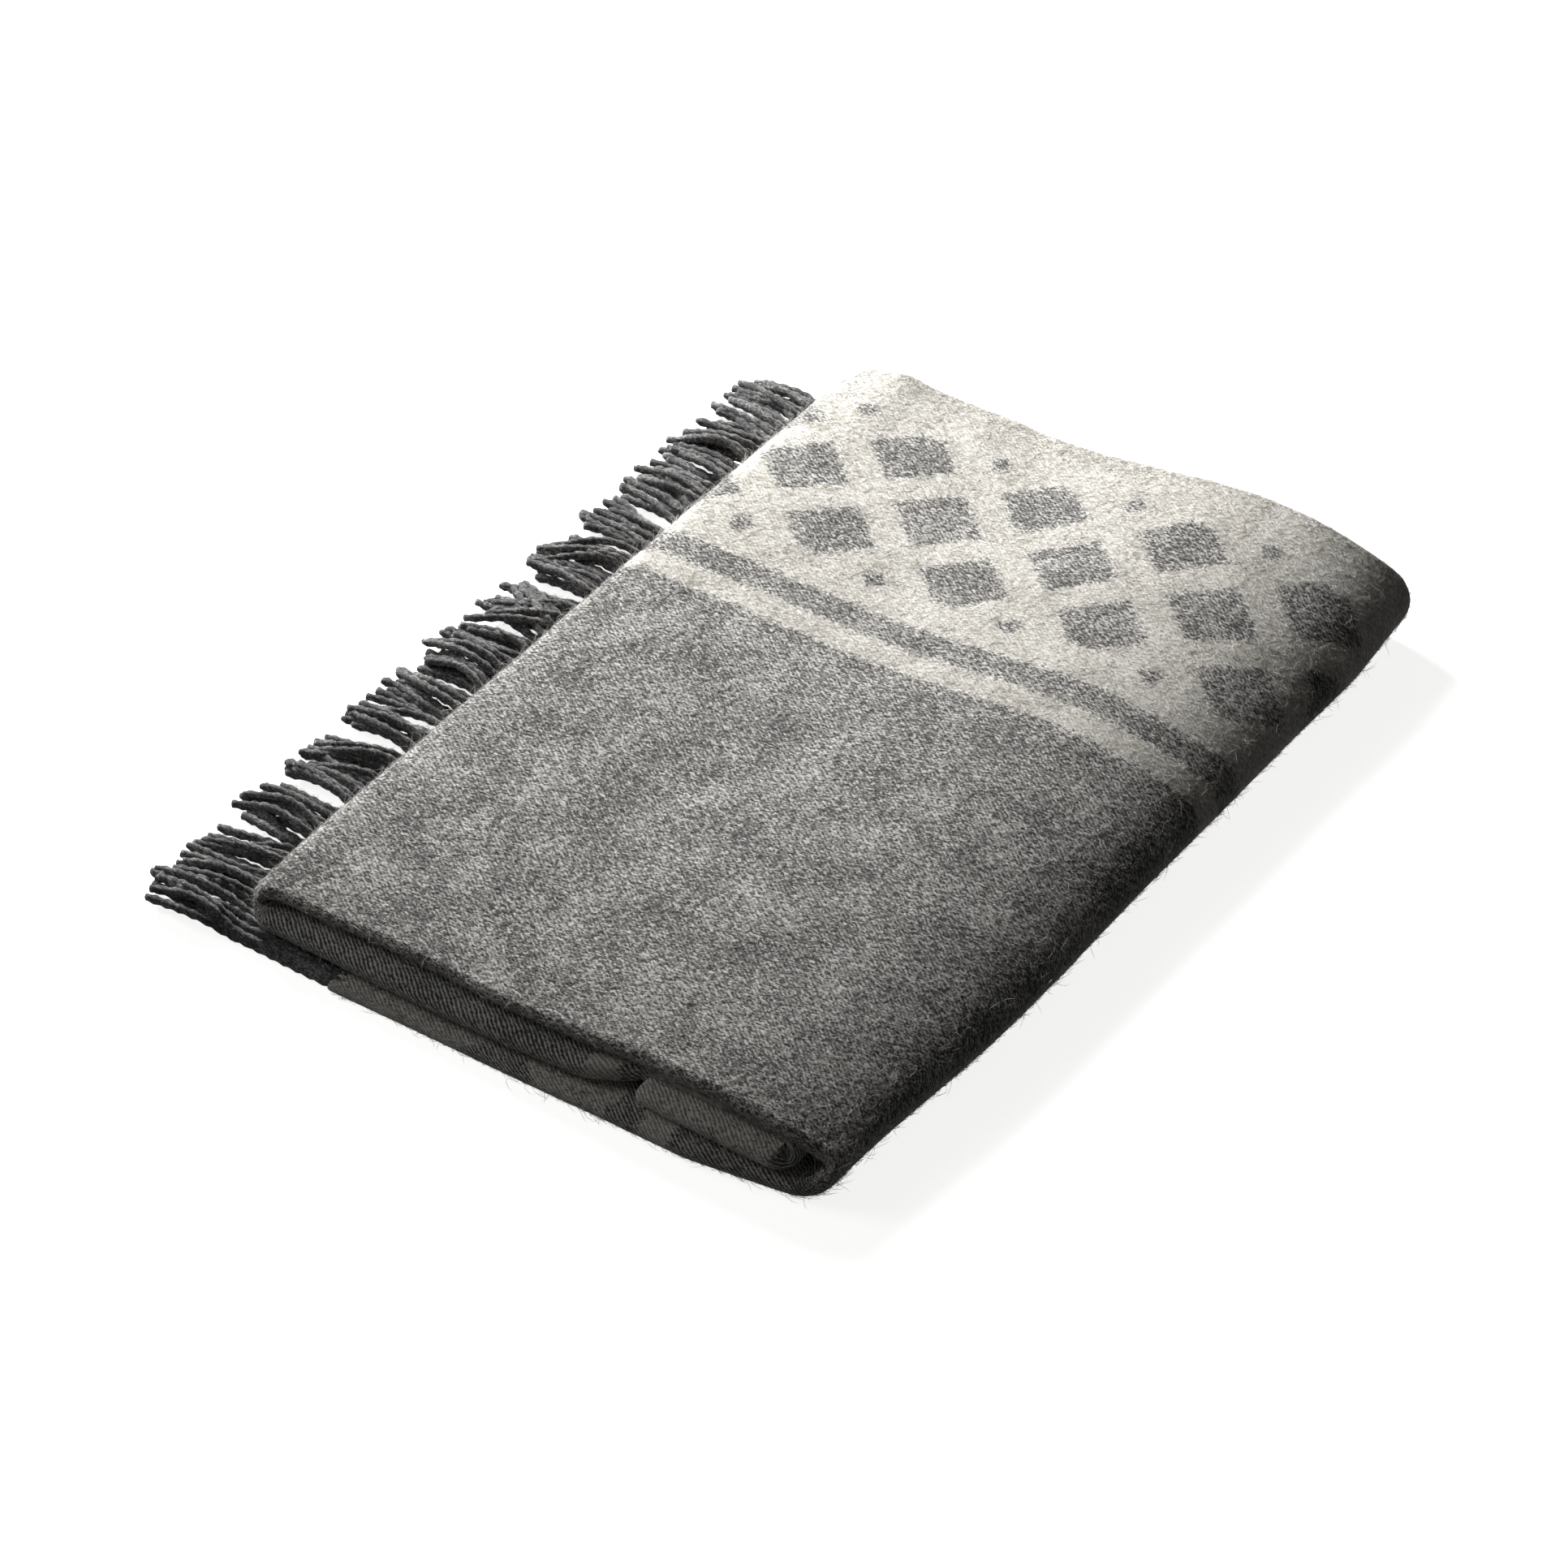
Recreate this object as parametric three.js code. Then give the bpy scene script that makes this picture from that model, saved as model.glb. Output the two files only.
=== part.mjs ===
// Folded wool throw with a fringe at both ends, millimetres, +Z up, lying on Z = 0.
// The cloth is folded in half along its length, which gives doubled leaves with a round lip at -Y
// and both selvedges at +Y. The doubled strip is then folded across: from the fringe of the lower
// leaf it runs right, round the outer fold, left as the top leaf, round the left fold, right as the
// inner leaf, and down round the inner fold into a short tucked end.
import * as THREE from 'three';

// Driving dimensions
const leafLength = 650; // half the throw's width, from the round lip to the selvedges
const stackWidth = 444; // from the left fold to the outer fold
const leafThickness = 13; // two plies of brushed wool
const lipStep = 12; // each leaf's lip stands this far behind the lip of the one below
const tuckLength = 120; // the tucked end, from the outside of the inner fold to its woven edge
const fringeInset = 80; // from the left fold to the lower leaf's woven edge
const fringeLength = 150; // from a woven edge to the cord tips
const cordHeight = 7; // a twisted cord lying pressed
const cordWidth = 5.5;
const cordsPerTassel = 3;
const tasselsPerEnd = 26;
const crotchLength = 24; // from the woven edge to where a tassel's cords part
const raggedTips = 9; // the longest cord's tip stands this far past the shortest's
const climb = 60; // a leaf rises onto a thicker layer within this distance
const gap = 0.3; // between pieces that touch

// Levels and edges that follow from them
const pitch = leafThickness + gap;
const stackHeight = 4 * leafThickness + 3 * gap;
const middleHeight = stackHeight / 2;
const foldRadius = leafThickness + gap / 2;
const outerRadius = stackHeight / 2;
const fringeShown = fringeLength - fringeInset;
const right = (stackWidth + fringeShown + gap) / 2;
const left = right - stackWidth;
const bendX = right - outerRadius;
const lowerEdge = left + fringeInset;
const tuckedEdge = bendX + foldRadius - tuckLength;
const tuckedTip = tuckedEdge - fringeLength;
const lowerBack = leafLength / 2 - lipStep;
const innerBack = lowerBack + lipStep;
const topBack = innerBack + lipStep;
const goldenAngle = Math.PI * (3 - Math.sqrt(5));

const wool = new THREE.MeshStandardMaterial({ color: '#8d8c88', roughness: 0.95, metalness: 0 });
const shadedWool = new THREE.MeshStandardMaterial({ color: '#6f6e6b', roughness: 0.95, metalness: 0 });
const cordWool = new THREE.MeshStandardMaterial({ color: '#4b4a4a', roughness: 0.95, metalness: 0 });

function piece(name, geometry, material) {
  const mesh = new THREE.Mesh(geometry, material);
  mesh.name = name;
  return mesh;
}

// A doubled leaf seen from its end: square at the selvedges, round at the lip.
function leafSection() {
  const half = leafThickness / 2;
  const section = new THREE.Shape();
  section.moveTo(0, -half);
  section.absarc(leafLength - half, 0, half, -Math.PI / 2, Math.PI / 2);
  section.lineTo(0, half);
  return section;
}

// A path in the XZ plane whose sections all keep their width along Y. Upright sections don't lean
// with the path, so that leaves on a slope keep the same thickness and gap between them.
class ProfilePath extends THREE.Curve {
  constructor(pointAt, upright) {
    super();
    this.pointAt = pointAt;
    this.upright = upright;
  }

  getPoint(t, target = new THREE.Vector3()) {
    const [x, z] = this.pointAt(t);
    return target.set(x, 0, z);
  }

  computeFrenetFrames(steps) {
    const frames = { tangents: [], normals: [], binormals: [] };
    for (let step = 0; step <= steps; step += 1) {
      const tangent = this.getTangentAt(step / steps);
      const normal = new THREE.Vector3(0, -1, 0);
      const down = new THREE.Vector3(0, 0, -1);
      frames.tangents.push(tangent);
      frames.normals.push(normal);
      frames.binormals.push(this.upright ? down : down.crossVectors(tangent, normal));
    }
    return frames;
  }
}

function leafPath(start, end, heightAt) {
  return new ProfilePath((t) => {
    const x = THREE.MathUtils.lerp(start, end, t);
    return [x, heightAt(x)];
  }, true);
}

function bendPath(x, z, radius) {
  return new ProfilePath((t) => {
    const angle = Math.PI * (t - 0.5);
    return [x + radius * Math.cos(angle), z + radius * Math.sin(angle)];
  }, false);
}

function sweptLeaf(name, path, steps, back, material) {
  const options = { steps, extrudePath: path, curveSegments: 8 };
  const leaf = piece(name, new THREE.ExtrudeGeometry(leafSection(), options), material);
  leaf.position.y = back;
  return leaf;
}

// A tight fold has no room inside, so it is a half-round bar. side is 1 to bulge towards +X.
function tightFold(name, x, z, side, back, material) {
  const outline = new THREE.Shape();
  outline.absarc(0, 0, foldRadius, -Math.PI / 2, Math.PI / 2);
  const options = { depth: leafLength, bevelEnabled: false, curveSegments: 10 };
  const fold = piece(name, new THREE.ExtrudeGeometry(outline, options), material);
  fold.rotation.x = Math.PI / 2;
  fold.position.set(x, back, z);
  if (side < 0) {
    fold.rotation.y = Math.PI;
    fold.position.y = back - leafLength;
  }
  return fold;
}

// The inner leaf lies on the lower fringe, then on the lower leaf, the tucked fringe and the tuck.
function rise(x, edge, height) {
  return height * THREE.MathUtils.smoothstep(x, edge - climb, edge);
}

function innerMiddle(x) {
  const onFringe = cordHeight + gap + leafThickness / 2;
  const ontoLower = rise(x, lowerEdge, leafThickness - cordHeight);
  const ontoTuckedFringe = rise(x, tuckedTip, cordHeight + gap);
  const ontoTuck = rise(x, tuckedEdge, leafThickness - cordHeight);
  return onFringe + ontoLower + ontoTuckedFringe + ontoTuck;
}

function topMiddle(x) {
  return innerMiddle(x) + pitch;
}

// One tassel lies flat: its cords are gathered at the woven edge and spread towards their tips.
function tasselOutline(index) {
  const lane = leafLength / tasselsPerEnd;
  const gathered = cordWidth + gap;
  const spread = lane / cordsPerTassel;
  const room = (spread - cordWidth - gap) / 2;
  const outline = new THREE.Shape();
  outline.moveTo(0, -cordsPerTassel * gathered / 2);
  for (let cord = 0; cord < cordsPerTassel; cord += 1) {
    const order = cord - (cordsPerTassel - 1) / 2;
    const turn = goldenAngle * (index * cordsPerTassel + cord); // never repeats along the row
    const tip = order * spread + room * Math.sin(turn);
    const length = fringeLength - (raggedTips / 2) * (1 - Math.cos(turn));
    outline.lineTo(-length, tip - cordWidth / 2);
    outline.lineTo(-length, tip + cordWidth / 2);
    outline.lineTo(cord < cordsPerTassel - 1 ? -crotchLength : 0, (order + 0.5) * gathered);
  }
  return outline;
}

function tassels(prefix, edge, base, back) {
  const lane = leafLength / tasselsPerEnd;
  const row = new THREE.Group();
  for (let index = 0; index < tasselsPerEnd; index += 1) {
    const options = { depth: cordHeight, bevelEnabled: false };
    const geometry = new THREE.ExtrudeGeometry(tasselOutline(index), options);
    const tassel = piece(`${prefix}_${String(index + 1).padStart(2, '0')}`, geometry, cordWool);
    tassel.position.set(edge - gap, back - (index + 0.5) * lane, base);
    row.add(tassel);
  }
  return row;
}

function lowerHalf() {
  const half = new THREE.Group();
  const flat = leafPath(lowerEdge, bendX, () => leafThickness / 2);
  half.add(sweptLeaf('lower_leaf', flat, 1, lowerBack, shadedWool));
  const bend = bendPath(bendX + gap, middleHeight, outerRadius - gap - leafThickness / 2);
  half.add(sweptLeaf('outer_fold', bend, 20, innerBack, shadedWool));
  half.add(tassels('lower_tassel', lowerEdge, 0, lowerBack));
  return half;
}

function upperHalf() {
  const half = new THREE.Group();
  const leftEnd = left + foldRadius + gap;
  const tuckLevel = 1.5 * leafThickness + gap;
  const leftMiddle = (innerMiddle(leftEnd) + topMiddle(leftEnd)) / 2;
  const tuck = leafPath(tuckedEdge, bendX - gap, () => tuckLevel);
  half.add(sweptLeaf('top_leaf', leafPath(leftEnd, bendX, topMiddle), 36, topBack, wool));
  half.add(tightFold('left_fold', left + foldRadius, leftMiddle, -1, (innerBack + topBack) / 2, wool));
  half.add(sweptLeaf('inner_leaf', leafPath(leftEnd, bendX - gap, innerMiddle), 36, innerBack, wool));
  half.add(tightFold('inner_fold', bendX, middleHeight, 1, innerBack, wool));
  half.add(sweptLeaf('tucked_end', tuck, 1, innerBack, wool));
  half.add(tassels('tucked_tassel', tuckedEdge, pitch, innerBack));
  return half;
}

const throwBlanket = new THREE.Group();
throwBlanket.add(lowerHalf(), upperHalf());

export default throwBlanket;
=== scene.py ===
import math

import bpy
import numpy as np
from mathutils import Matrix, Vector


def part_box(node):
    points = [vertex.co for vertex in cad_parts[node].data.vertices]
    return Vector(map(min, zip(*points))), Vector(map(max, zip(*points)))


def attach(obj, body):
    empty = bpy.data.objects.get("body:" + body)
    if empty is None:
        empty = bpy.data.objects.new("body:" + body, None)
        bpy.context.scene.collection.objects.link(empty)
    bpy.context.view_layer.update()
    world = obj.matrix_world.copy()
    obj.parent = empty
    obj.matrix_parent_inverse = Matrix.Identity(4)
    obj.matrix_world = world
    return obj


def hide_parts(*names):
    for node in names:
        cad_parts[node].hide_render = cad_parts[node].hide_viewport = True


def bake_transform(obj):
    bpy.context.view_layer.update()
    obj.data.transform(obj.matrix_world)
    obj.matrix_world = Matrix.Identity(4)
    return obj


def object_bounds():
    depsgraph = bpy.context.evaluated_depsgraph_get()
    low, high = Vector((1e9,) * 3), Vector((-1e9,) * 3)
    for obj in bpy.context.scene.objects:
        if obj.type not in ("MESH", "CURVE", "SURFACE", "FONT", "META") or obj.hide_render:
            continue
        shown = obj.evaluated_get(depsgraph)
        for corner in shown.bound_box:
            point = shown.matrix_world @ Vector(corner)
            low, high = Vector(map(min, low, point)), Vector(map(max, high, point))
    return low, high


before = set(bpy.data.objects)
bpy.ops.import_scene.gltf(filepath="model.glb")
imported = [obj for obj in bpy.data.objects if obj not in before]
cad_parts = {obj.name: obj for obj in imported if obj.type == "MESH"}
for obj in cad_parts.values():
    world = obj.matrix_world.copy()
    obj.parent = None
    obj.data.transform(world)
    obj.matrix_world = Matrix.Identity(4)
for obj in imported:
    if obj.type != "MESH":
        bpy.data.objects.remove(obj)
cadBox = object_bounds()
mm = 0.001
chance = np.random.default_rng(7)
print("stage: frame loaded")

# Camera and studio
view = {  # lengths in mm
    "azimuth": 34.7,  # degrees round from the front, towards the outer fold
    "elevation": 39.8,
    "distance": 3810,
    "target": (33.65, 12, 20),
    "lens": 138.8,
    "shift": (-0.0401, -0.0233),
}
studio = {  # places and sizes in mm, powers in watts
    "keyFrom": (-1200, 760, 640),  # over the back left corner
    "keySize": 700,
    "keyPower": 54,
    "sideFrom": (-2300, -750, 1400),
    "sideSize": 1400,
    "sidePower": 14,
    "worldGrey": 0.036,
    "floorSize": 9000,
    "floorColour": "#f4f4f3",
    "floorGlow": 0.95,
}


def linear(code):  # sRGB hex to linear RGBA
    parts = [int(code[i:i + 2], 16) / 255 for i in (1, 3, 5)]
    return [c / 12.92 if c <= 0.04045 else ((c + 0.055) / 1.055) ** 2.4 for c in parts] + [1.0]


def addNode(tree, kind, settings=None, inputs=None):
    made = tree.nodes.new(kind)
    for name, value in (settings or {}).items():
        setattr(made, name, value)
    for name, value in (inputs or {}).items():
        if isinstance(value, bpy.types.NodeSocket):
            tree.links.new(value, made.inputs[name])
        else:
            made.inputs[name].default_value = value
    return made


def newMaterial(name):
    material = bpy.data.materials.new(name)
    material.use_nodes = True
    material.node_tree.nodes.clear()
    return material, material.node_tree


def makeCamera():
    azimuth, elevation = math.radians(view["azimuth"]), math.radians(view["elevation"])
    back = Vector((math.sin(azimuth) * math.cos(elevation),
                   -math.cos(azimuth) * math.cos(elevation), math.sin(elevation)))
    data = bpy.data.cameras.new("camera")
    data.lens = view["lens"]
    data.sensor_width = 36
    data.shift_x, data.shift_y = view["shift"]
    data.clip_start, data.clip_end = 0.05, 60
    camera = bpy.data.objects.new("camera", data)
    camera.location = (Vector(view["target"]) + back * view["distance"]) * mm
    camera.rotation_euler = (-back).to_track_quat("-Z", "Y").to_euler()
    bpy.context.scene.collection.objects.link(camera)
    bpy.context.scene.camera = camera


def softLight(name, place, size, power):
    data = bpy.data.lights.new(name, "AREA")
    data.shape = "DISK"
    data.size = size * mm
    data.energy = power
    light = bpy.data.objects.new(name, data)
    light.location = Vector(place) * mm
    light.rotation_euler = (-Vector(place)).to_track_quat("-Z", "Y").to_euler()
    bpy.context.scene.collection.objects.link(light)


def makeStudio():
    softLight("keyLight", studio["keyFrom"], studio["keySize"], studio["keyPower"])
    softLight("sideLight", studio["sideFrom"], studio["sideSize"], studio["sidePower"])
    world = bpy.data.worlds.new("studio")
    world.use_nodes = True
    shade = world.node_tree.nodes["Background"]
    shade.inputs["Color"].default_value = (1, 1, 1, 1)
    shade.inputs["Strength"].default_value = studio["worldGrey"]
    bpy.context.scene.world = world
    bpy.context.scene.view_settings.view_transform = "Standard"
    bpy.ops.mesh.primitive_plane_add(size=studio["floorSize"] * mm)
    floor = bpy.context.object
    floor.name = "floor"
    material, tree = newMaterial("pale studio board")  # matt and even, nearly white
    shader = addNode(tree, "ShaderNodeBsdfPrincipled", {}, {
        "Base Color": linear(studio["floorColour"]), "Roughness": 0.9,
        "Emission Color": linear(studio["floorColour"]), "Emission Strength": studio["floorGlow"],
    })
    addNode(tree, "ShaderNodeOutputMaterial", {}, {"Surface": shader.outputs[0]})
    floor.data.materials.append(material)
    floor.visible_diffuse = False  # the board throws little light up into the folds


makeCamera()
makeStudio()
print("stage: camera and studio")

# Places that come from the frame, in millimetres
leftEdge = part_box("left_fold")[0].x / mm
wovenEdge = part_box("lower_leaf")[0].x / mm - leftEdge  # across from the left fold
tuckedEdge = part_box("tucked_end")[0].x / mm - leftEdge
lowerLip, lowerBack = (p.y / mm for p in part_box("lower_leaf"))
innerLip, innerBack = (p.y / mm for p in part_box("inner_leaf"))
topLip, topBack = (p.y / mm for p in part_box("top_leaf"))
halfThrow = topBack - topLip  # from the lip to a selvedge

cloth = {
    "ply": 6.2,  # thickness of one brushed ply at most
    "stackLow": 39,  # height of the stack over its left part
    "climbFront": 7,  # how much higher it is over the tucked end, at the lips
    "climbBack": 13,  # and how much more at the selvedges
    "lowerHeight": 7.2,  # the lower leaf is pressed by the others
    "lowerSwell": 4.5,
    "cordRoom": 4.5,  # room for the tucked fringe
    "topShare": 0.70,  # where the top leaf starts, as a share of the height
    "lipGap": 3.2,  # shadow gap under the top lip
    "foldLow": 22,  # height of the outer fold's rightmost line
    "foldFoot": 414,  # where the outer fold leaves the floor, from the left fold
    "foldCrest": 340,
    "leftTurn": 20,  # depth of the left fold
    "innerTurn": 398,
    "innerReach": 14,
    "tuckedEdge": tuckedEdge - 10,
    "offFloor": 0.3,
    "leafGap": 0.4,  # between leaves that lie on each other
    "step": 6.5,  # mesh size
}


def smooth(x, low, high):
    t = np.clip((x - low) / (high - low), 0, 1)
    return t * t * (3 - 2 * t)


def waves(a, b, size, seed):  # gentle uneven swell, about -1 to 1
    total = 0
    for k in range(5):
        turn = seed * 1.7 + k * 2.4
        way = 2 * math.pi / (size * (0.75 + 0.22 * k))
        total = total + np.sin(way * (a * math.cos(turn) + b * math.sin(turn)) + 3.1 * seed + k)
    return total / 3


def depth(y):  # 0 at the top lip to 1 at the top selvedge
    return np.clip((y - topLip) / halfThrow, 0, 1)


def stackTop(x, y):
    s = depth(y)
    high = cloth["stackLow"] + smooth(x, 150, 340) * (cloth["climbFront"] + cloth["climbBack"] * s)
    edge = smooth(s, 0.8, 1)
    high = high + edge * (4 * np.exp(-((x - 45) / 20) ** 2) + 1.5 * smooth(x, 150, 220))
    high = high - 3 * (1 - smooth(s, 0, 0.14))  # the leaf sinks towards its lip
    return high + 0.7 * waves(x, y, 120, 1) + 0.35 * waves(x, y, 45, 2)


def lowerTop(x, y):
    return cloth["lowerHeight"] + cloth["lowerSwell"] * smooth(x, 190, 290) + 4 * depth(y)


def topBottom(x, y):
    return cloth["topShare"] * stackTop(x, y) + 1


def tuckedTop(x, y):  # near its lip the tucked end springs up and fills the gap
    share = 0.5 + 0.26 * (1 - smooth(y, innerLip + 12, innerLip + 45))
    return lowerTop(x, y) + share * (topBottom(x, y) - lowerTop(x, y))


def innerBottom(x, y):
    gap = cloth["leafGap"]
    low = lowerTop(x, y) + gap
    inland = smooth(y, innerLip + 4, innerLip + 40)
    room = cloth["cordRoom"] * smooth(x, 130, 170) * inland
    return low + room + smooth(x, 285, 312) * (tuckedTop(x, y) + gap - low - room)


def lipLine(place):  # y of the lip along the strip: leaf index plus share of the leaf
    places = [0, 0.5, 0.8, 1, 1.5, 2, 2.2, 3, 3.5, 4, 4.64, 4.73, 5, 5.5, 6]
    lips = [lowerLip - 1, lowerLip, lowerLip + 2, lowerLip + 12, topLip + 4, topLip, topLip, topLip,
            (topLip + innerLip) / 2, innerLip, innerLip, innerLip + 15, innerLip + 16, innerLip, innerLip]
    wander = 1.5 * waves(place * 330, 0 * place, 170, 5)  # a hand-folded edge is never quite straight
    return np.interp(place, places, lips) + wander


def leafRows(start, end):
    count = max(3, int(abs(end - start) / cloth["step"]))
    return np.linspace(start, end, count + 1)


def underLip(x, y):  # the shadow gap under the top lip, closing further in
    gap = cloth["lipGap"] * (1 - 0.85 * smooth(x, 270, 310))
    return gap * (1 - smooth(y, topLip, topLip + 45))


def innerTop(x, y):
    return topBottom(x, y) - cloth["leafGap"] - underLip(x, y)


def ground(x, y):
    return cloth["offFloor"] + 0 * y


def tuckedBottom(x, y):
    return lowerTop(x, y) + cloth["leafGap"]


# Columns across the strip: u is 0 at the lip line, and plus or minus halfThrow at the selvedges
lipRadius = 6
lipArc = lipRadius * math.pi / 2  # a lip's quarter turn, laid flat
quarter = np.linspace(0, 1, 8)[:-1]
straightU = np.concatenate([leafRows(lipArc, halfThrow - 3), [halfThrow - 1.8, halfThrow - 0.7, halfThrow]])
u = np.concatenate([quarter * lipArc, straightU])
bend = np.concatenate([quarter * math.pi / 2, np.full(len(straightU), math.pi / 2)])
u, bend = (np.concatenate([-a[:0:-1], a]) for a in (u, bend))
along = np.clip((np.abs(u) - lipArc) / (halfThrow - lipArc), 0, 1)


def yGrid(place):  # y of every point of these rows
    return lipLine(place)[:, None] + lipRadius + along[None, :] * (halfThrow - lipRadius)


# A part of the strip gives, on its grid of rows and columns: place, x, z of the doubled leaf's
# middle, the direction of the cloth's own up, and half the leaf's thickness
def leafPart(xs, index, span, low, high, up):
    place = index + span * np.linspace(0, 1, len(xs), endpoint=False)
    y = yGrid(place)
    x = xs[:, None] + 0 * y
    a, b = low(x, y), high(x, y)
    return place, x, (a + b) / 2, np.full_like(y, up), (b - a) / 2


def turnPart(angles, index, span, centre, reach, low, high, halves, side):
    place = index + span * np.linspace(0, 1, len(angles), endpoint=False)
    y = yGrid(place)
    angle = angles[:, None] + 0 * y
    share = smooth((angle - angles[0]) / (angles[-1] - angles[0]), 0.1, 0.8)
    half = halves[0](y) + (halves[1](y) - halves[0](y)) * share
    across, rise = reach(y), (high(y) - low(y)) / 2
    px = centre + across * np.cos(angle)
    pz = (high(y) + low(y)) / 2 + rise * np.sin(angle)
    nx, nz = np.cos(angle) / across, np.sin(angle) / rise
    size = np.hypot(nx, nz)
    nx, nz = nx / size, nz / size
    return place, px - nx * half, pz - nz * half, np.arctan2(-side * nz, -side * nx), half


def stripParts():
    foot, crest, foldLow = cloth["foldFoot"], cloth["foldCrest"], cloth["foldLow"]
    left, inner = cloth["leftTurn"], cloth["innerTurn"]
    tucked, offFloor = cloth["tuckedEdge"], cloth["offFloor"]

    def reachOut(y):
        s = depth(y)
        return 438 + 9 * smooth(s, 0, 0.25) - 7 * smooth(s, 0.85, 1) + 1.2 * waves(y, 0 * y, 150, 3)

    def footHalf(y):
        return (lowerTop(foot, y) - ground(foot, y)) / 2

    def crestHalf(y):
        return (stackTop(crest, y) - topBottom(crest, y)) / 2

    def midHalf(y):
        return 0.45 * footHalf(y) + 0.55 * crestHalf(y)

    bottom = np.linspace(-math.pi / 2, 0, 15)[:-1]
    above = np.linspace(0, math.pi / 2, 31)[:-1]
    parts = [
        leafPart(np.concatenate([[wovenEdge, wovenEdge + 1.5, wovenEdge + 4],
                                 leafRows(wovenEdge + 9, foot)[:-1]]), 0, 1, ground, lowerTop, math.pi / 2),
        # the outer fold: a tight quarter near the floor, then a long soft quarter over it
        turnPart(bottom, 1, 0.3, foot, lambda y: reachOut(y) - foot, lambda y: offFloor + 0 * y,
                 lambda y: 2 * foldLow - offFloor + 0 * y, (footHalf, midHalf), 1),
        turnPart(above, 1.3, 0.7, crest, lambda y: reachOut(y) - crest,
                 lambda y: 2 * foldLow - stackTop(crest, y), lambda y: stackTop(crest, y),
                 (midHalf, crestHalf), 1),
        leafPart(leafRows(crest, left)[:-1], 2, 1, topBottom, stackTop, -math.pi / 2),
        turnPart(np.linspace(math.pi / 2, 1.5 * math.pi, 24)[:-1], 3, 1, left, lambda y: left - 1.5 + 0 * y,
                 lambda y: innerBottom(left, y), lambda y: stackTop(left, y),
                 (lambda y: (stackTop(left, y) - topBottom(left, y)) / 2,
                  lambda y: (innerTop(left, y) - innerBottom(left, y)) / 2), 1),
        leafPart(leafRows(left, inner)[:-1], 4, 1, innerBottom, innerTop, math.pi / 2),
        turnPart(np.linspace(math.pi / 2, -math.pi / 2, 16)[:-1], 5, 0.5, inner,
                 lambda y: cloth["innerReach"] + 0 * y, lambda y: tuckedBottom(inner, y),
                 lambda y: innerTop(inner, y),
                 (lambda y: (innerTop(inner, y) - innerBottom(inner, y)) / 2,
                  lambda y: (tuckedTop(inner, y) - tuckedBottom(inner, y)) / 2), -1),
        leafPart(np.concatenate([leafRows(inner, tucked + 9), [tucked + 4, tucked + 1.5, tucked]]),
                 5.5, 0.5, tuckedBottom, tuckedTop, -math.pi / 2),
    ]
    seam = sum(len(p[0]) for p in parts[:3])
    return [np.concatenate([p[k] for p in parts]) for k in range(5)], seam


def roundCorner(surface):  # the stack's left corners turn softly
    x, y = surface[..., 0], surface[..., 1]
    for radius, gap, share, fade in ((24, topBack - y, 0.8, 70), (10, y - topLip, 0.35, 30)):
        near = np.clip(radius - gap, 0, radius)
        surface[..., 0] += share * (radius - np.sqrt(radius ** 2 - near ** 2)) * (1 - smooth(x, 0, fade))


def buildStrip():
    (place, x, z, up, half), seam = stripParts()
    count = len(place)
    lips = lipLine(place)
    ply = np.minimum(0.93 * half, cloth["ply"])
    fromEnd = np.minimum(np.arange(count), count - 1 - np.arange(count))[:, None]
    fromSide = (halfThrow - np.abs(u))[None, :]
    taper = np.interp(fromEnd, [0, 1, 2, 3], [0.45, 0.82, 0.97, 1])
    taper = taper * np.interp(fromSide, [0, 0.7, 1.8, 3], [0.45, 0.8, 0.96, 1])
    lipHalf = half[:, len(u) // 2][:, None]
    flat = np.abs(bend) >= math.pi / 2 - 1e-9  # the columns away from the lip
    surfaces = []
    for sign in (1, -1):  # the cloth's outer face, then the face inside the doubled leaf
        radius = half - ply / 2 + sign * ply / 2 * taper
        roundLip = np.maximum(lipHalf - ply / 2 + sign * ply / 2 * taper, 0.2)
        off = np.where(flat[None, :], radius, roundLip) * np.sin(bend)[None, :]
        w = np.where(flat[None, :], lipHalf + along[None, :] * (halfThrow - lipHalf),
                     lipHalf - roundLip * np.cos(bend)[None, :])
        surface = np.stack([x + np.cos(up) * off, lips[:, None] + w, z + np.sin(up) * off], axis=-1)
        roundCorner(surface)
        surface[..., 0] += leftEdge
        surfaces.append(surface)
    outward = surfaces[0][:, len(u) // 4]  # along the ply that faces out round both big folds
    v = np.concatenate([[0], np.cumsum(np.linalg.norm(np.diff(outward, axis=0), axis=1))])
    return surfaces[0], surfaces[1], v, seam, place


def gridNormals(surface):
    alongRows = np.gradient(surface, axis=0)
    alongColumns = np.gradient(surface, axis=1)
    normal = np.cross(alongRows, alongColumns)
    return normal / np.maximum(np.linalg.norm(normal, axis=-1, keepdims=True), 1e-9)


def makeMesh(name, points, faces, spots, normals=None, values=None):
    mesh = bpy.data.meshes.new(name)
    mesh.from_pydata((points * mm).tolist(), [], faces)
    corner = np.zeros(len(mesh.loops), np.int32)
    mesh.loops.foreach_get("vertex_index", corner)
    layer = mesh.uv_layers.new(name="cloth")
    layer.data.foreach_set("uv", (spots[corner] * mm).astype(np.float32).ravel())
    for key, value in (values or {}).items():
        mesh.attributes.new(key, "FLOAT", "POINT").data.foreach_set("value", value.astype(np.float32))
    mesh.polygons.foreach_set("use_smooth", np.ones(len(mesh.polygons), bool))
    mesh.update()
    if normals is not None:
        mesh.normals_split_custom_set_from_vertices(normals.tolist())
    piece = bpy.data.objects.new(name, mesh)
    bpy.context.scene.collection.objects.link(piece)
    return piece


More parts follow.
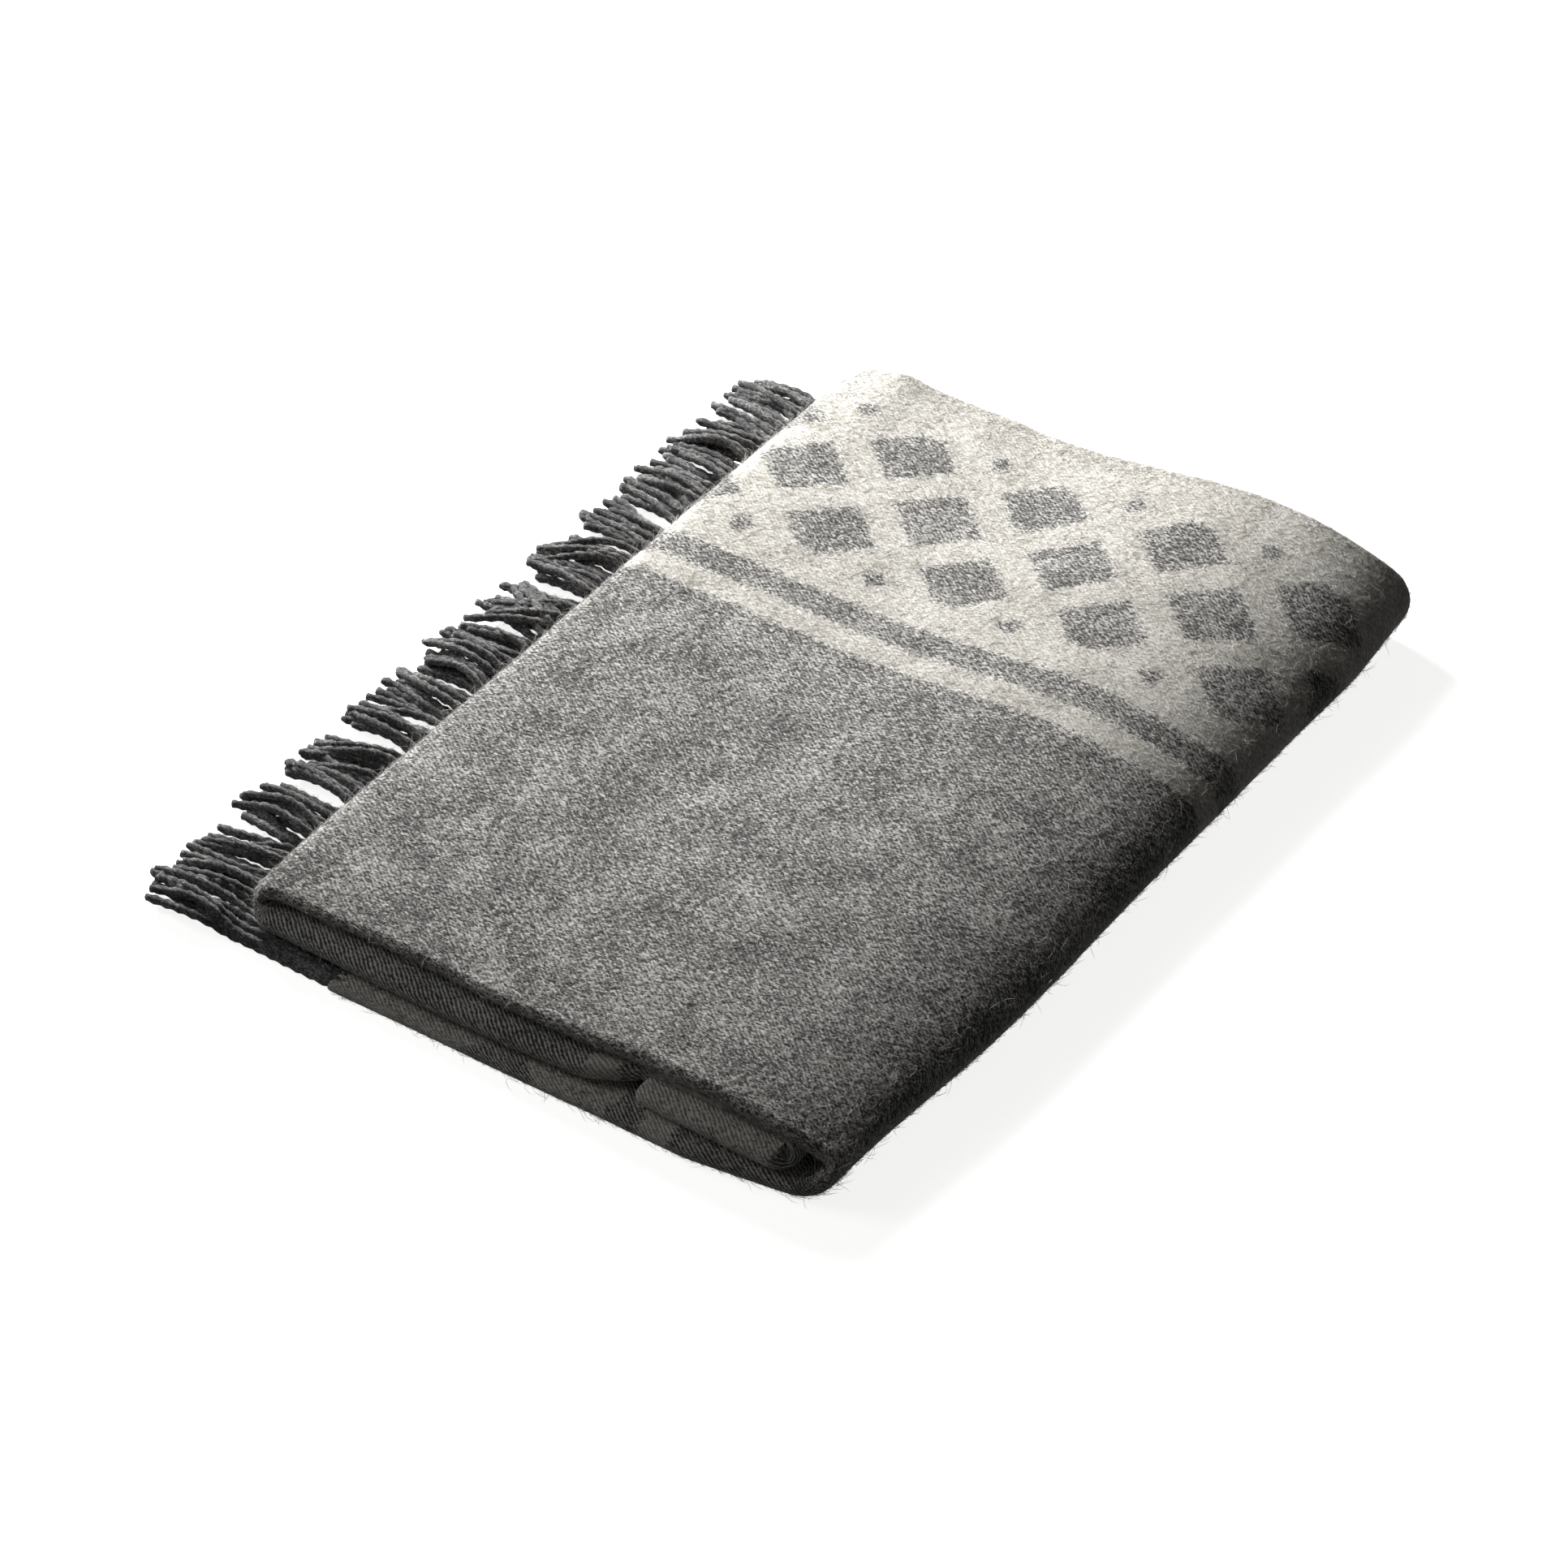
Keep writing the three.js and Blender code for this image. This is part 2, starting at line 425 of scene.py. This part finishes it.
def sheetPiece(name, first, last):  # the rows of the strip from first to last, closed all round
    rows, across = last - first, len(u)
    cut = slice(first, last)
    points = np.concatenate([outerFace[cut].reshape(-1, 3), innerFace[cut].reshape(-1, 3)])
    normals = np.concatenate([outerNormal[cut].reshape(-1, 3), -innerNormal[cut].reshape(-1, 3)])
    spot = np.stack(np.broadcast_arrays(u[None, :], v[cut, None]), axis=-1).reshape(-1, 2)
    soft = np.broadcast_to(brushed[cut], (rows, across)).ravel()
    back = rows * across
    faces = []
    for i in range(rows - 1):
        for j in range(across - 1):
            a = i * across + j
            b, c, d = a + 1, a + across + 1, a + across
            faces.append((a, d, c, b))
            faces.append((back + a, back + b, back + c, back + d))
    for i in range(rows - 1):
        a, d = i * across, (i + 1) * across
        faces.append((a, back + a, back + d, d))
        a, d = a + across - 1, d + across - 1
        faces.append((a, d, back + d, back + a))
    for j in range(across - 1):
        a, b = j, j + 1
        faces.append((a, b, back + b, back + a))
        a, b = back - across + j, back - across + j + 1
        faces.append((a, back + a, back + b, b))
    return makeMesh(name, points, faces, np.concatenate([spot, spot]), normals,
                    {"brushed": np.concatenate([soft, soft])})


outerFace, innerFace, v, seam, stripPlace = buildStrip()
outerNormal, innerNormal = gridNormals(outerFace), gridNormals(innerFace)
# the lower and inner leaves are less brushed, so their twill shows
brushed = np.interp(stripPlace, [0, 1, 1.3, 3.4, 4, 6], [0, 0.2, 1, 1, 0.15, 0])[:, None]
clothLength = v[-1]
print("stage: strip", outerFace.shape, "length", round(clothLength))
foldPiece = sheetPiece("foldCloth", 0, seam + 1)
upperPiece = sheetPiece("upperCloth", seam, len(v))
print("stage: cloth")

# Wool materials
wool = {
    "greyDark": "#363534", "grey": "#7f7d79", "greyBright": "#dddad5",
    "creamDark": "#b2ada4", "cream": "#d5d1c8", "creamBright": "#eeebe4",
    "fibre": 1.0,  # mm, the salt-and-pepper fleck of blended fibres, drawn a little coarse to show
    "twill": 2.3,  # mm between the diagonal ribs of the weave
    "cloud": 42,  # mm, brushed patches
    "fuzz": 3.0,  # mm, the size of the tufts that the brushing pulls over the pattern's edges
    "rag": 8.5,  # how far they are pulled, at most
    "stray": 4.5,  # how far single fibres stray over them
    "blur": 2.4,  # and how soft the edges are
    "ribPlain": 0.34, "ribBrushed": 0.07,  # how much the ribs show in plain and in brushed cloth
    "cloudWeight": 0.24,
    "toneRange": (0.497, 0.743),  # from the darkest fibres to the brightest
    "napHighlight": 0.10,  # painted highlight: loose fibres are drawn lighter than the cloth, as they catch more light
}
yarn = {
    "shades": ("#232323", "#4e4d4d", "#acaba9"),  # charcoal melange
    "grain": 0.8, "stretch": 0.45,  # the fleck, drawn out along the cord
    "cloud": 0.07, "cloudWeight": 0.4,
    "toneRange": (0.48, 0.92),
}
border = {  # the woven pattern, in mm
    "sideStripe": 222.5, "endStripe": 208, "stripe": 22,  # a dark then a light stripe round the field
    "sideRow": 119.5, "endRow": 127, "rowPitch": 47.8, "columnPitch": 52.75,
    "edgeRow": 1.5,  # the lattice ends this many rows out from its middle one
    "tinyRow": 1.55, "tinySize": 9,
    "diamond": 0.325,  # half size, on the lattice
    "firstColumn": 151,  # a diamond's middle, across from the left fold
}
topRun = slice(seam, seam + 40)  # rows that run left from the outer fold's crest
acrossTop = outerFace[topRun, len(u) // 4, 0] - leftEdge
patternColumn = float(np.interp(-border["firstColumn"], -acrossTop, v[topRun]))


def patternSteps():  # each step: its name, what it works out, and from what
    b = border
    latticeUnit = 2 / math.hypot(1 / b["rowPitch"], 1 / b["columnPitch"])
    return [
        # how far in from the selvedge and from the woven end
        ("side", "ABSOLUTE", "U"),
        ("side", "SUBTRACT", halfThrow, "side"),
        ("farEnd", "SUBTRACT", clothLength, "V"),
        ("end", "MINIMUM", "V", "farEnd"),
        ("sideIn", "SUBTRACT", "side", b["sideStripe"]),
        ("endIn", "SUBTRACT", "end", b["endStripe"]),
        ("field", "MINIMUM", "sideIn", "endIn"),  # negative in the border
        ("onSide", "LESS_THAN", "sideIn", "endIn"),
        # row and column in the lattice, counted in pitches
        ("sideRow", "SUBTRACT", "side", b["sideRow"]),
        ("endRow", "SUBTRACT", "end", b["endRow"]),
        ("change", "SUBTRACT", "sideRow", "endRow"),
        ("row", "MULTIPLY_ADD", "change", "onSide", "endRow"),
        ("row", "DIVIDE", "row", b["rowPitch"]),
        ("sideColumn", "SUBTRACT", patternColumn, "V"),
        ("sideColumn", "SUBTRACT", "sideColumn", "U"),
        ("column", "MULTIPLY_ADD", "sideColumn", "onSide", "U"),
        ("column", "DIVIDE", "column", b["columnPitch"]),
        # how near the middle of a diamond, across both diagonals
        ("sum", "ADD", "row", "column"),
        ("sum", "MULTIPLY", "sum", 0.5),
        ("round", "ROUND", "sum"),
        ("sum", "SUBTRACT", "sum", "round"),
        ("sum", "ABSOLUTE", "sum"),
        ("less", "SUBTRACT", "row", "column"),
        ("less", "MULTIPLY", "less", 0.5),
        ("round", "ROUND", "less"),
        ("less", "SUBTRACT", "less", "round"),
        ("less", "ABSOLUTE", "less"),
        ("diamond", "MAXIMUM", "sum", "less"),
        ("diamond", "SUBTRACT", b["diamond"], "diamond"),
        ("diamond", "MULTIPLY", "diamond", latticeUnit),
        ("away", "ABSOLUTE", "row"),
        ("limit", "SUBTRACT", b["edgeRow"], "away"),
        ("limit", "MULTIPLY", "limit", b["rowPitch"]),
        ("diamond", "MINIMUM", "diamond", "limit"),
        # the small diamonds, by every second column
        ("away", "SUBTRACT", "away", b["tinyRow"]),
        ("away", "ABSOLUTE", "away"),
        ("away", "MULTIPLY", "away", b["rowPitch"]),
        ("pair", "MULTIPLY", "column", 0.5),
        ("round", "ROUND", "pair"),
        ("pair", "SUBTRACT", "pair", "round"),
        ("pair", "ABSOLUTE", "pair"),
        ("pair", "MULTIPLY_ADD", "pair", 2 * b["columnPitch"], "away"),
        ("tiny", "SUBTRACT", b["tinySize"], "pair"),
        ("tiny", "MULTIPLY", "tiny", "onSide"),
        ("tiny", "SUBTRACT", "tiny", 1.0),  # the small marks line the side borders only
        ("mark", "MAXIMUM", "diamond", "tiny"),
        ("inside", "MULTIPLY", "field", -1.0),
        ("mark", "MINIMUM", "mark", "inside"),
        ("stripe", "SUBTRACT", b["stripe"], "field"),
        ("stripe", "MINIMUM", "stripe", "field"),
        ("field", "SUBTRACT", "field", 2 * b["stripe"]),
        ("dark", "MAXIMUM", "mark", "stripe"),
        ("dark", "MAXIMUM", "dark", "field"),  # mm inside the nearest dark shape
    ]


def woolCloth(name, lift=0.0, bumps=True):
    material, tree = newMaterial(name)
    spot = addNode(tree, "ShaderNodeUVMap", {"uv_map": "cloth"})
    inMm = addNode(tree, "ShaderNodeVectorMath", {"operation": "SCALE"},
                   {0: spot.outputs[0], "Scale": 1000.0})
    rub = addNode(tree, "ShaderNodeTexNoise", {}, {
        "Vector": inMm.outputs[0], "Scale": 1 / wool["fuzz"], "Detail": 3.0, "Roughness": 0.7})
    shift = addNode(tree, "ShaderNodeVectorMath", {"operation": "MULTIPLY_ADD"}, {
        0: rub.outputs["Color"], 1: (2 * wool["rag"],) * 3, 2: inMm.outputs[0]})
    centred = addNode(tree, "ShaderNodeVectorMath", {"operation": "SUBTRACT"}, {
        0: shift.outputs[0], 1: (wool["rag"],) * 3})
    axes = addNode(tree, "ShaderNodeSeparateXYZ", {}, {0: centred.outputs[0]})
    made = {"U": axes.outputs["X"], "V": axes.outputs["Y"]}
    for label, operation, *terms in patternSteps():
        step = addNode(tree, "ShaderNodeMath", {"operation": operation},
                       {i: made.get(t, t) for i, t in enumerate(terms)})
        made[label] = step.outputs[0]
    # blended fibres: short flecks lying along the weave's diagonal
    grain = addNode(tree, "ShaderNodeMapping", {}, {
        "Vector": inMm.outputs[0], "Rotation": (0, 0, math.radians(52)), "Scale": (1.0, 0.42, 1.0)})
    fleck = addNode(tree, "ShaderNodeTexNoise", {}, {
        "Vector": grain.outputs[0], "Scale": 0.62 / wool["fibre"], "Detail": 2.5, "Roughness": 0.75,
        "Distortion": 0.6})
    strayed = addNode(tree, "ShaderNodeMath", {"operation": "MULTIPLY_ADD"}, {
        0: fleck.outputs[0], 1: -2 * wool["stray"], 2: made["dark"]})
    dark = addNode(tree, "ShaderNodeMapRange", {"interpolation_type": "SMOOTHSTEP"}, {
        "Value": strayed.outputs[0], "From Min": -wool["stray"] - wool["blur"],
        "From Max": -wool["stray"] + wool["blur"]})
    cloud = addNode(tree, "ShaderNodeTexNoise", {}, {
        "Vector": inMm.outputs[0], "Scale": 1 / wool["cloud"], "Detail": 5.0, "Roughness": 0.62})
    rib = addNode(tree, "ShaderNodeTexWave", {"bands_direction": "X"}, {
        "Vector": addNode(tree, "ShaderNodeMapping", {}, {
            "Vector": inMm.outputs[0], "Rotation": (0, 0, math.radians(-38))}).outputs[0],
        "Scale": 2 * math.pi / 20 / wool["twill"], "Distortion": 1.6, "Detail": 1.0, "Detail Scale": 1.2})
    brush = addNode(tree, "ShaderNodeAttribute", {"attribute_name": "brushed"})
    ribWeight = addNode(tree, "ShaderNodeMapRange", {}, {
        "Value": brush.outputs["Fac"], "To Min": wool["ribPlain"], "To Max": wool["ribBrushed"]})
    tone = addNode(tree, "ShaderNodeMath", {"operation": "MULTIPLY_ADD"}, {
        0: cloud.outputs[0], 1: wool["cloudWeight"], 2: fleck.outputs[0]})
    toneRib = addNode(tree, "ShaderNodeMath", {"operation": "SUBTRACT"}, {0: rib.outputs["Fac"], 1: 0.5})
    tone = addNode(tree, "ShaderNodeMath", {"operation": "MULTIPLY_ADD"}, {
        0: toneRib.outputs[0], 1: ribWeight.outputs[0], 2: tone.outputs[0]})
    darkest, brightest = wool["toneRange"]
    # lift shifts every tone lighter, which is the nap's painted highlight
    spread = addNode(tree, "ShaderNodeMapRange", {}, {
        "Value": tone.outputs[0], "From Min": darkest - lift, "From Max": brightest - lift})
    colours = []
    for shades in (("greyDark", "grey", "greyBright"), ("creamDark", "cream", "creamBright")):
        ramp = addNode(tree, "ShaderNodeValToRGB", {}, {"Fac": spread.outputs[0]})
        ramp.color_ramp.elements.new(0.5)
        for element, shade in zip(ramp.color_ramp.elements, shades):
            element.color = linear(wool[shade])
        ramp.color_ramp.elements[0].position, ramp.color_ramp.elements[2].position = 0.12, 0.9
        colours.append(ramp.outputs[0])
    colour = addNode(tree, "ShaderNodeMix", {"data_type": "RGBA"}, {
        "Factor": dark.outputs[0], 6: colours[1], 7: colours[0]})
    shader = addNode(tree, "ShaderNodeBsdfPrincipled", {}, {
        "Base Color": colour.outputs[2], "Roughness": 0.95, "Specular IOR Level": 0.15,
        "Sheen Weight": 0.22, "Sheen Roughness": 0.6})
    if bumps:
        height = addNode(tree, "ShaderNodeMath", {"operation": "MULTIPLY_ADD"}, {
            0: rib.outputs["Fac"], 1: ribWeight.outputs[0], 2: fleck.outputs[0]})
        bump = addNode(tree, "ShaderNodeBump", {}, {
            "Strength": 0.75, "Distance": 1.1 * mm, "Height": height.outputs[0]})
        tree.links.new(bump.outputs[0], shader.inputs["Normal"])
    addNode(tree, "ShaderNodeOutputMaterial", {}, {"Surface": shader.outputs[0]})
    return material


def yarnMaterial(name):
    material, tree = newMaterial(name)
    spot = addNode(tree, "ShaderNodeTexCoord")
    inMm = addNode(tree, "ShaderNodeVectorMath", {"operation": "SCALE"},
                   {0: spot.outputs["Object"], "Scale": 1000.0})
    stretched = addNode(tree, "ShaderNodeMapping", {}, {
        "Vector": inMm.outputs[0], "Scale": (yarn["stretch"], 1, 1)})
    fleck = addNode(tree, "ShaderNodeTexNoise", {}, {
        "Vector": stretched.outputs[0], "Scale": yarn["grain"], "Detail": 3.0, "Roughness": 0.75})
    cloud = addNode(tree, "ShaderNodeTexNoise", {}, {
        "Vector": inMm.outputs[0], "Scale": yarn["cloud"], "Detail": 3.0})
    tone = addNode(tree, "ShaderNodeMath", {"operation": "MULTIPLY_ADD"}, {
        0: cloud.outputs[0], 1: yarn["cloudWeight"], 2: fleck.outputs[0]})
    darkest, brightest = yarn["toneRange"]
    ramp = addNode(tree, "ShaderNodeValToRGB", {}, {
        "Fac": addNode(tree, "ShaderNodeMapRange", {}, {
            "Value": tone.outputs[0], "From Min": darkest, "From Max": brightest}).outputs[0]})
    ramp.color_ramp.elements.new(0.5)
    for element, shade in zip(ramp.color_ramp.elements, yarn["shades"]):
        element.color = linear(shade)
    bump = addNode(tree, "ShaderNodeBump", {}, {
        "Strength": 0.7, "Distance": 0.8 * mm, "Height": fleck.outputs[0]})
    shader = addNode(tree, "ShaderNodeBsdfPrincipled", {}, {
        "Base Color": ramp.outputs[0], "Roughness": 0.95, "Specular IOR Level": 0.15,
        "Sheen Weight": 0.15, "Sheen Roughness": 0.6, "Normal": bump.outputs[0]})
    addNode(tree, "ShaderNodeOutputMaterial", {}, {"Surface": shader.outputs[0]})
    return material


clothWool = woolCloth("brushed wool twill")  # blended grey and cream fibres with a raised nap
napWool = woolCloth("raised wool nap", lift=wool["napHighlight"], bumps=False)  # loose fibres soften its edges; painted highlight: they are drawn lighter than the cloth
cordWool = yarnMaterial("twisted wool yarn")  # two plies, charcoal melange
foldPiece.data.materials.append(clothWool)
upperPiece.data.materials.append(clothWool)
print("stage: wool")

# Fringe: twisted cords whose tips draw together in bunches
fringe = {
    "length": 150,
    "pitch": 6.1,
    "thickness": 6.4,
    "twist": 19,  # mm for a full turn of the two plies
    "rings": 44,
    "sides": 8,
    "bunch": (16, 36),  # mm of the edge whose cords cling together
    "gather": 0.5,  # how far their tips draw together
    "cling": (0.4, 1),  # the under row hangs straighter than the upper one and fills the gaps
    "lean": 13,  # how far a bunch strays sideways
}


# Cords from a woven edge at x = edge, between y = lip and y = back, in rows at the heights in lows.
# They come clear of the stack at out from the edge, arch by rise, and the first ones swing by fan.
def fringeCords(edge, lip, back, lows, rings, rise, out, fan):
    rows = [np.arange(lip + 3 + ply * fringe["pitch"] / 2, back - 2, fringe["pitch"]) for ply in (0, 1)]
    cords = []
    start = lip + 3
    while start < back - 2:
        end = min(start + chance.uniform(*fringe["bunch"]), back - 2)
        middle = (start + end) / 2
        stray = chance.normal(0, fringe["lean"]) - fan * math.exp(-(middle - lip) / 45)
        for low, row, cling in zip(lows, rows, fringe["cling"]):
            lift = chance.uniform(0.2, 1) * rise * cling
            for root in row[(row >= start) & (row < end)]:
                own = cling * (stray + (middle - root) * fringe["gather"]) + chance.normal(0, 5)
                reach = fringe["length"] * chance.uniform(0.91, 1.03)
                cords.append(oneCord(edge, root, low, reach, own,
                                     lift + chance.uniform(-2, 4) * rise / 12, rings, out))
        start = end
    return cords


def oneCord(edge, root, low, reach, stray, lift, rings, out):
    s = np.linspace(0, 1, rings)
    run = math.sqrt(max(reach ** 2 - stray ** 2, 1))
    x = edge + 5 - (run + 5) * s
    clear = smooth(-(x - edge), out - 12, out + 18)  # 0 under the stack, 1 outside
    y = root + stray * smooth(s, min(out / reach, 0.7) - 0.08, 1.12)
    y = y + 1.6 * np.sin(s * chance.uniform(7, 13) + chance.uniform(0, 6)) * s
    y = y + clear * chance.normal(0, 3) * np.sin(math.pi * smooth(s, 0.5, 1))
    hump = np.sin(math.pi * smooth(s, out / reach - 0.15, 1.15))
    floorLine = fringe["thickness"] / 2 + 0.3
    z = low + clear * (lift * hump + (floorLine - low) * smooth(s, 0.75, 1.0) * chance.uniform(0, 1))
    z = np.maximum(z, floorLine)
    line = np.stack([x, y, z], axis=1)
    way = np.gradient(line, axis=0)
    way /= np.linalg.norm(way, axis=1, keepdims=True)
    side = np.cross([0, 0, 1], way)
    side /= np.linalg.norm(side, axis=1, keepdims=True)
    upward = np.cross(way, side)
    turn = np.linspace(0, 2 * math.pi, fringe["sides"], endpoint=False)
    twist = 2 * math.pi * s * reach / fringe["twist"] + chance.uniform(0, 6)
    size = fringe["thickness"] / 2 * chance.uniform(0.9, 1.08)
    radius = size * (0.86 + 0.17 * np.cos(2 * (turn[None, :] - twist[:, None])))
    radius = radius * np.interp(s, [0, 0.04, 0.97, 0.99, 1], [0.8, 1, 1.02, 1.1, 0.86])[:, None]
    ring = (line[:, None] + radius[..., None] * (np.cos(turn)[None, :, None] * side[:, None]
                                                 + np.sin(turn)[None, :, None] * upward[:, None]))
    return line, ring


def cordPiece(name, cords):
    points, faces, spots = [], [], []
    start, sides = 0, fringe["sides"]
    for line, ring in cords:
        rings = len(line)
        points += [ring.reshape(-1, 3), line[:1], line[-1:] + (line[-1:] - line[-2:-1]) * 0.3]
        for i in range(rings - 1):
            for j in range(sides):
                a, b = start + i * sides + j, start + i * sides + (j + 1) % sides
                faces.append((a, b, b + sides, a + sides))
        first, last = start + rings * sides, start + rings * sides + 1
        for j in range(sides):
            a, b = start + j, start + (j + 1) % sides
            faces.append((b, a, first))
            faces.append((a + (rings - 1) * sides, b + (rings - 1) * sides, last))
        start = last + 1
        spots.append(np.zeros((rings * sides + 2, 2)))
    piece = makeMesh(name, np.concatenate(points), faces, np.concatenate(spots))
    piece.data.materials.append(cordWool)
    return piece


lowerCords = fringeCords(wovenEdge + leftEdge, lowerLip, lowerBack, lows=(3, 5.4),
                         rings=fringe["rings"], rise=12, out=wovenEdge, fan=10)
tuckedCords = fringeCords(cloth["tuckedEdge"] + leftEdge, innerLip + 30, innerBack - 12, lows=(0, 1),
                          rings=30, rise=0, out=400, fan=0)  # never clear of the stack
for line, ring in tuckedCords:  # they lie on the lower leaf
    onLeaf = lowerTop(line[:, 0] - leftEdge, line[:, 1]) + 1.5
    ring[..., 2] += onLeaf[:, None]
    line[:, 2] += onLeaf
lowerFringe = cordPiece("lowerFringe", lowerCords)
tuckedFringe = cordPiece("tuckedFringe", tuckedCords)
print("stage: fringe", len(lowerCords), len(lowerFringe.data.polygons))

# Raised fibres
nap = {
    "short": (3, 7), "long": (8, 17),  # mm
    "width": 0.24,
    "count": 16000, "foldCount": 11000,  # fibres on each upper piece, and on the fold
    "lipCount": 3200, "selvedgeCount": 1400,  # on the upper half's lips, and on each selvedge
    "foldLipCount": 3600, "foldSelvedgeCount": 700,
    "longShare": 0.16, "sideLongShare": 0.12, "foldLongShare": 0.14,
    "curl": 0.22,
    "yarnCount": 15000, "yarnShort": (1.6, 4.5), "yarnWidth": 0.26, "yarnCurl": 0.3,
    "firstRing": 18,  # the rings before it lie under the stack
}
highest = cadBox[1].z / mm * 1.03 + 9.5  # as high as loose fibres may stand


def fibres(name, roots, normals, spots, lengths, lift, width, material, curl):
    count = len(roots)
    way = chance.normal(0, 1, (count, 3)) + np.array([0.8, 0.5, 0.1])
    way -= normals * np.sum(way * normals, axis=1, keepdims=True)
    way /= np.linalg.norm(way, axis=1, keepdims=True)
    way = way + normals * lift[:, None]
    way /= np.linalg.norm(way, axis=1, keepdims=True)
    side = np.cross(normals, way)
    side /= np.linalg.norm(side, axis=1, keepdims=True)
    bow = side * (chance.normal(0, curl, count) * lengths)[:, None]
    droop = -normals * (lift * lengths * 0.35)[:, None]
    stages = [0.36, 0.72]
    thick = [width * 0.5, width * 0.4]
    points = [roots - normals * 0.3]
    for share, size in zip(stages, thick):
        centre = roots + way * (lengths * share)[:, None] + bow * 4 * share * (1 - share)
        centre = centre + droop * share ** 2
        for k in range(3):
            turn = 2 * math.pi * k / 3
            points.append(centre + side * size * math.cos(turn) + normals * size * math.sin(turn))
    points.append(roots + way * lengths[:, None] + droop + bow * 0.3)
    points = np.stack(points, axis=1).reshape(-1, 3)
    points[:, 2] = np.clip(points[:, 2], 0.2, highest)  # nothing reaches into the floor
    shape = [(0, 2, 1), (0, 3, 2), (0, 1, 3), (7, 4, 5), (7, 5, 6), (7, 6, 4)]
    for a, b in ((1, 2), (2, 3), (3, 1)):
        shape.append((a, b, b + 3, a + 3))
    faces = []
    for k in range(count):
        for face in shape:
            faces.append(tuple(8 * k + i for i in face))
    piece = makeMesh(name, points, faces, np.repeat(spots, 8, axis=0), None,
                     {"brushed": np.ones(8 * count)})
    piece.data.materials.append(material)
    return piece


def onStrip(first, last, count, columns):
    # random places on the outer face, between rows first and last, in proportion to area
    cells = outerFace[first:last, columns[0]:columns[1]]
    down, across = cells[1:, :-1] - cells[:-1, :-1], cells[:-1, 1:] - cells[:-1, :-1]
    area = np.linalg.norm(np.cross(down, across), axis=-1)
    pick = chance.choice(area.size, count, p=(area / area.sum()).ravel())
    i, j = pick // area.shape[1] + first, pick % area.shape[1] + columns[0]
    a, b = chance.random((2, count, 1))
    mixed = []
    spot = np.stack(np.broadcast_arrays(u[None, :], v[:, None]), axis=-1)
    for data in (outerFace, outerNormal, spot):
        mixed.append(data[i, j] * (1 - a) * (1 - b) + data[i + 1, j] * a * (1 - b)
                     + data[i, j + 1] * (1 - a) * b + data[i + 1, j + 1] * a * b)
    return mixed


def napPiece(name, places, longOnes):
    roots, normals, spots = (np.concatenate([p[k] for p in places]) for k in range(3))
    count = len(roots)
    isLong = chance.random(count) < longOnes
    lengths = np.where(isLong, chance.uniform(*nap["long"], count), chance.uniform(*nap["short"], count))
    lift = np.where(isLong, chance.uniform(0.02, 0.4, count), chance.uniform(0.04, 0.36, count))
    return fibres(name, roots, normals, spots, lengths, lift, nap["width"], napWool, nap["curl"])


lipColumns = (len(u) // 2 - 10, len(u) // 2 + 10)
facing = (0, len(u) // 2 + 6)  # the ply that shows from above, and a little round its lip
edgeColumns = ((0, 6), (len(u) - 7, len(u) - 1))  # the selvedges
footRow = int(np.argmax(stripPlace >= 1))  # where the outer fold starts
leftRows = int(np.argmax(stripPlace >= 4))  # where the left fold ends
upperNap = [napPiece(f"upperNap{k + 1}", [onStrip(seam, leftRows, nap["count"], facing)], nap["longShare"])
            for k in range(2)]
upperNap.append(napPiece("upperNapSides", [
    onStrip(seam, len(v) - 1, nap["lipCount"], lipColumns),
    *[onStrip(seam, len(v) - 1, nap["selvedgeCount"], columns) for columns in edgeColumns],
], nap["sideLongShare"]))
foldNap = napPiece("foldNap", [
    onStrip(footRow, seam, nap["foldCount"], facing),
    onStrip(0, seam, nap["foldLipCount"], lipColumns),
    *[onStrip(0, seam, nap["foldSelvedgeCount"], columns) for columns in edgeColumns],
], nap["foldLongShare"])


def cordFuzz():
    lines = [c[0] for c in lowerCords]
    pick = chance.integers(0, len(lines), nap["yarnCount"])
    spot = chance.integers(nap["firstRing"], fringe["rings"] - 1, nap["yarnCount"])
    roots = np.array([lines[p][s] for p, s in zip(pick, spot)])
    normals = chance.normal(0, 1, roots.shape)
    normals[:, 2] = np.abs(normals[:, 2])
    normals /= np.linalg.norm(normals, axis=1, keepdims=True)
    roots = roots + normals * fringe["thickness"] * 0.42
    count = len(roots)
    lengths, lift = chance.uniform(*nap["yarnShort"], count), chance.uniform(0.1, 0.8, count)
    return fibres("fringeFuzz", roots, normals, np.zeros((count, 2)), lengths, lift,
                  nap["yarnWidth"], cordWool, nap["yarnCurl"])


fringeFuzz = cordFuzz()
print("stage: nap")

# Bodies
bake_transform(foldPiece)
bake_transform(foldNap)
for piece in (upperPiece, tuckedFringe, *upperNap):
    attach(piece, "upper_half")
for piece in (lowerFringe, fringeFuzz):
    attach(piece, "lower_half")
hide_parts("lower_leaf", "outer_fold")
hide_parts("top_leaf", "left_fold", "inner_leaf", "inner_fold", "tucked_end")
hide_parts(*[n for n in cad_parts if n.startswith("lower_tassel")])
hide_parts(*[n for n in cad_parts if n.startswith("tucked_tassel")])
